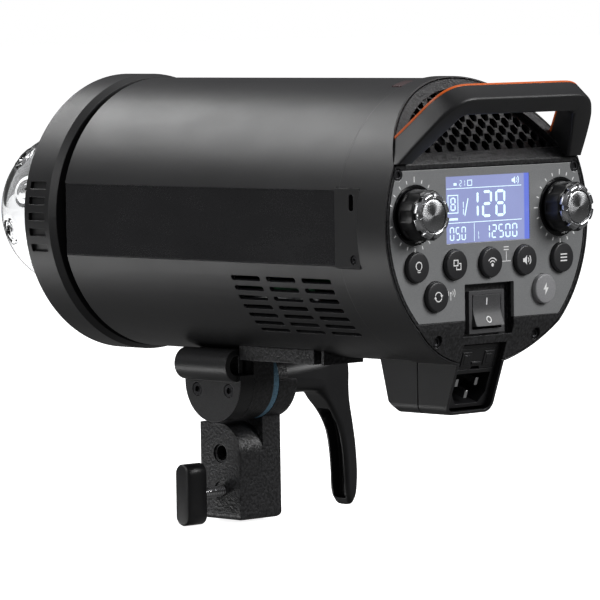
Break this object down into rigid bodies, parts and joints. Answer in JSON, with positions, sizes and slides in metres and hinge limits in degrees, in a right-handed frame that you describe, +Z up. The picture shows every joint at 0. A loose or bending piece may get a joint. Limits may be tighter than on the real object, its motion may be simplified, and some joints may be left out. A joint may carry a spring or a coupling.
{
  "type": "monolight studio strobe",
  "caption": "Tubular studio flash head with clear glass dome, rear control panel with knobs and buttons, leaning carry handle and tilting stand bracket with umbrella hole.",
  "frame": {"origin": "centre of the stand socket's mouth, at the bottom of the bracket", "axes": "+Z up along the stand socket, the lamp points along -Y, +X is the clamp knob's side"},
  "size_m": [0.147, 0.38, 0.2347],
  "materials": {
    "housing": "fine grain black",
    "strip": "smooth dark grey",
    "red_window": "dark red, see-through",
    "grey_panel": "satin grey",
    "steel": "plated",
    "aluminium": "plain",
    "dish": "polished",
    "ceramic": "white ceramic",
    "flash_glass": "clear",
    "lamp_glass": "frosted",
    "clear_glass": "clear",
    "display": "backlit blue",
    "display_body": "moulded",
    "chrome": "bright",
    "board": "circuit board",
    "pale_button": "translucent grey",
    "grey_plastic": "fine grain grey",
    "fuse_glass": "clear with metal ends",
    "orange": "orange",
    "capacitor": "dark blue sleeve",
    "bracket_paint": "textured black powder coat",
    "blue_washer": "blue-grey nylon",
    "red_plastic": "moulded",
    "rubber": "ribbed black"
  },
  "bodies": {
    "bracket": {"stand_block": "bracket_paint"},
    "lamp": {"body_tube": "housing", "side_strip_right": "strip", "side_strip_left": "strip", "end_cover_right": "housing", "end_cover_left": "housing", "sensor_window": "red_window", "rear_shell": "housing", "rear_bezel": "housing", "control_plate": "grey_panel", "panel_screws": "steel", "vent_grille": "housing", "front_ring": "housing", "bayonet_plate": "aluminium", "reflector_dish": "dish", "tube_socket": "ceramic", "flash_tube": "flash_glass", "modelling_lamp": "lamp_glass", "dome_clips": "steel", "display_window": "display", "display_module": "display_body", "knob_rings": "chrome", "encoders": "steel", "control_board": "board", "rocker_bezel": "grey_plastic", "inlet_body": "housing", "inlet_pins": "steel", "handle": "housing", "handle_trim": "orange", "fan_frame": "housing", "capacitors": "capacitor", "power_board": "board", "chassis": "aluminium", "base_plate": "bracket_paint", "tilt_head": "bracket_paint", "umbrella_clamp": "bracket_paint", "umbrella_jaw": "steel", "clamp_screws": "steel", "friction_washer": "blue_washer", "pivot_bolt": "steel"},
    "dome": {"glass_dome": "clear_glass"},
    "release": {"release_slider": "red_plastic"},
    "left_knob": {"knob_left": "rubber", "knob_cap_left": "chrome"},
    "right_knob": {"knob_right": "rubber", "knob_cap_right": "chrome"},
    "switch": {"rocker": "grey_plastic"},
    "drawer": {"fuse_drawer": "housing", "fuse": "fuse_glass"},
    "fan": {"fan_rotor": "housing"},
    "lever": {"tilt_lever": "housing"},
    "clamp": {"clamp_knob": "housing", "clamp_rod": "steel"},
    "lamp_button": {"button_lamp": "housing"},
    "group_button": {"button_group": "housing"},
    "slave_button": {"button_slave": "housing"},
    "sound_button": {"button_sound": "housing"},
    "menu_button": {"button_menu": "housing"},
    "mode_button": {"button_mode": "housing"},
    "test_button": {"button_test": "pale_button"}
  },
  "joints": [
    {"name": "tilt_hinge", "type": "hinge", "parent": "bracket", "child": "lamp", "pos_m": [0, 0.0074, 0.0736], "axis": [1, 0, 0], "range_deg": [-40, 55]},
    {"name": "lever_hinge", "type": "hinge", "parent": "bracket", "child": "lever", "pos_m": [0, 0.0074, 0.0736], "axis": [1, 0, 0], "range_deg": [-70, 70]},
    {"name": "clamp_spin", "type": "hinge", "parent": "bracket", "child": "clamp", "pos_m": [0.035, 0, 0.015], "axis": [1, 0, 0], "continuous": true},
    {"name": "dome_pull", "type": "slide", "parent": "lamp", "child": "dome", "axis": [0, -1, 0], "range_m": [0, 0.11]},
    {"name": "release_slide", "type": "slide", "parent": "lamp", "child": "release", "axis": [0, 1, 0], "range_m": [0, 0.0035], "stiffness_N_per_m": 900, "springref_m": -0.001},
    {"name": "left_knob_spin", "type": "hinge", "parent": "lamp", "child": "left_knob", "pos_m": [0.0519, 0.1834, 0.1656], "axis": [0, 1, 0], "continuous": true},
    {"name": "right_knob_spin", "type": "hinge", "parent": "lamp", "child": "right_knob", "pos_m": [-0.0519, 0.1834, 0.1656], "axis": [0, 1, 0], "continuous": true},
    {"name": "lamp_press", "type": "slide", "parent": "lamp", "child": "lamp_button", "axis": [0, -1, 0], "range_m": [0, 0.001], "stiffness_N_per_m": 900, "springref_m": -0.0005},
    {"name": "group_press", "type": "slide", "parent": "lamp", "child": "group_button", "axis": [0, -1, 0], "range_m": [0, 0.001], "stiffness_N_per_m": 900, "springref_m": -0.0005},
    {"name": "slave_press", "type": "slide", "parent": "lamp", "child": "slave_button", "axis": [0, -1, 0], "range_m": [0, 0.001], "stiffness_N_per_m": 900, "springref_m": -0.0005},
    {"name": "sound_press", "type": "slide", "parent": "lamp", "child": "sound_button", "axis": [0, -1, 0], "range_m": [0, 0.001], "stiffness_N_per_m": 900, "springref_m": -0.0005},
    {"name": "menu_press", "type": "slide", "parent": "lamp", "child": "menu_button", "axis": [0, -1, 0], "range_m": [0, 0.001], "stiffness_N_per_m": 900, "springref_m": -0.0005},
    {"name": "mode_press", "type": "slide", "parent": "lamp", "child": "mode_button", "axis": [0, -1, 0], "range_m": [0, 0.001], "stiffness_N_per_m": 900, "springref_m": -0.0005},
    {"name": "test_press", "type": "slide", "parent": "lamp", "child": "test_button", "axis": [0, -1, 0], "range_m": [0, 0.001], "stiffness_N_per_m": 900, "springref_m": -0.0005},
    {"name": "power_rocker", "type": "hinge", "parent": "lamp", "child": "switch", "pos_m": [0, 0.1784, 0.1154], "axis": [1, 0, 0], "range_deg": [-18, 0]},
    {"name": "fuse_drawer_slide", "type": "slide", "parent": "lamp", "child": "drawer", "axis": [0, 0.9409, -0.3387], "range_m": [0, 0.02]},
    {"name": "fan_spin", "type": "hinge", "parent": "lamp", "child": "fan", "pos_m": [0, 0.1294, 0.172], "axis": [0, 1, 0], "continuous": true}
  ]
}
